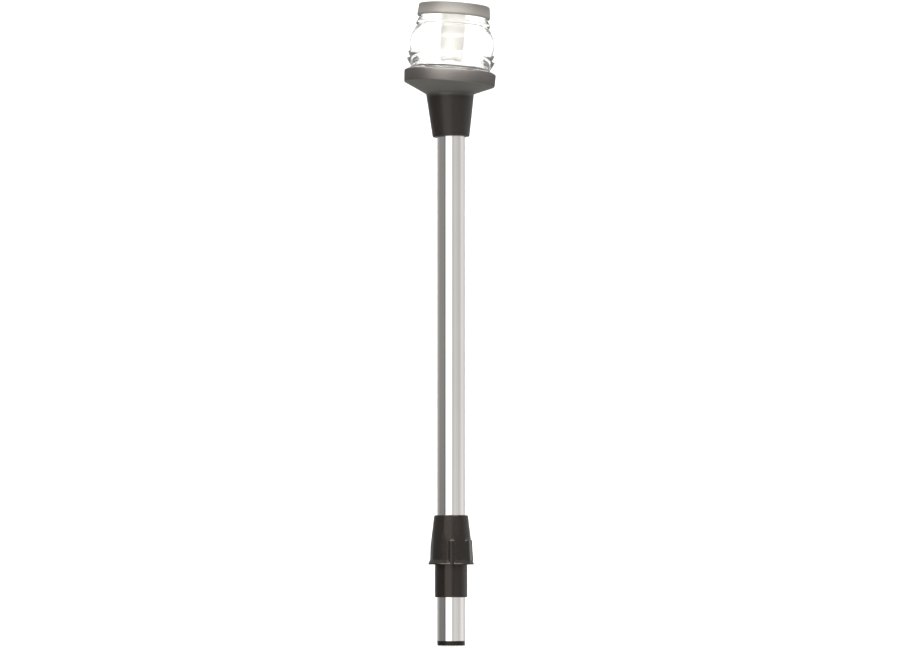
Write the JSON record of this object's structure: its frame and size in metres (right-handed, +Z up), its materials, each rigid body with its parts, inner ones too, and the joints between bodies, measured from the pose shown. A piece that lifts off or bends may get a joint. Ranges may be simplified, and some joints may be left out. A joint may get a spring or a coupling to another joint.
{
  "type": "navigation light",
  "caption": "Plug-in all-round boat light: capped barrel lens on a tapered head, straight aluminium pole, ribbed locking collar, sleeve and plug end.",
  "frame": {"origin": "centre of the plug's bottom face, on the pole's axis", "axes": "+Z up the pole towards the lamp; +X is the side the lamp leans to; -Y is the front, and the key slot and the fixing screws are on +Y"},
  "size_m": [0.0842, 0.0842, 0.5885],
  "materials": {
    "plug_plastic": "satin",
    "seal_rubber": "matte",
    "contact_brass": "polished",
    "stainless": "brushed",
    "pole_aluminium": "clear anodised, fine drawn grain",
    "sleeve_plastic": "satin",
    "washer_nylon": "matte",
    "collar_plastic": "fine moulded grain",
    "housing_plastic": "satin",
    "red_insulation": "smooth",
    "black_insulation": "smooth",
    "holder_plastic": "smooth",
    "nickel_plate": "plated",
    "fibre_plate": "matte",
    "spring_steel": "drawn",
    "black_glass": "gloss",
    "solder": "satin",
    "pearl_glass": "pearl",
    "stem_glass": "clear",
    "tungsten": "matte",
    "clear_lens": "clear moulded",
    "liner_foam": "matte",
    "cap_plastic": "satin"
  },
  "bodies": {
    "pole": {"plug_body": "plug_plastic", "plug_seal": "seal_rubber", "contact_sockets": "contact_brass", "plug_screw": "stainless", "pole_tube": "pole_aluminium", "pole_sleeve": "sleeve_plastic", "sleeve_screw": "stainless", "lamp_housing": "housing_plastic", "neck_screw": "stainless", "wire_grommet": "seal_rubber", "lead_positive": "red_insulation", "lead_negative": "black_insulation", "lead_terminals": "contact_brass", "lamp_holder": "holder_plastic", "holder_screws": "stainless", "socket_shell": "nickel_plate", "contact_plate": "fibre_plate", "contact_springs": "spring_steel"},
    "washer": {"collar_washer": "washer_nylon"},
    "collar": {"locking_collar": "collar_plastic"},
    "gasket": {"lens_gasket": "seal_rubber"},
    "lens": {"lens": "clear_lens", "cap_liner": "liner_foam", "top_cap": "cap_plastic"},
    "bulb": {"bulb_base": "nickel_plate", "bulb_insulator": "black_glass", "bulb_contacts": "solder", "bulb_glass": "pearl_glass", "bulb_stem": "stem_glass", "filament_posts": "spring_steel", "bulb_filament": "tungsten", "contact_plungers": "contact_brass"}
  },
  "joints": [
    {"name": "collar_slide", "type": "slide", "parent": "pole", "child": "washer", "axis": [0, 0, 1], "range_m": [0, 0.345]},
    {"name": "collar_spin", "type": "hinge", "parent": "washer", "child": "collar", "pos_m": [0, 0, 0.1048], "axis": [0, 0, 1], "continuous": true},
    {"name": "lens_rise", "type": "slide", "parent": "pole", "child": "gasket", "axis": [0.0645, 0, 0.9979], "range_m": [0, 0.00267]},
    {"name": "lens_turn", "type": "hinge", "parent": "gasket", "child": "lens", "pos_m": [-0.0009, 0, 0.5244], "axis": [0.0645, 0, 0.9979], "range_deg": [0, 80]},
    {"name": "bulb_press", "type": "slide", "parent": "pole", "child": "bulb", "axis": [0.0645, 0, 0.9979], "range_m": [-0.0016, 0], "stiffness_N_per_m": 1500, "springref_m": 0.002, "deforming": ["contact_springs"]}
  ],
  "couplings": [
    {"joint": "lens_turn", "follows": "lens_rise", "rad_per_m": 523.6}
  ]
}
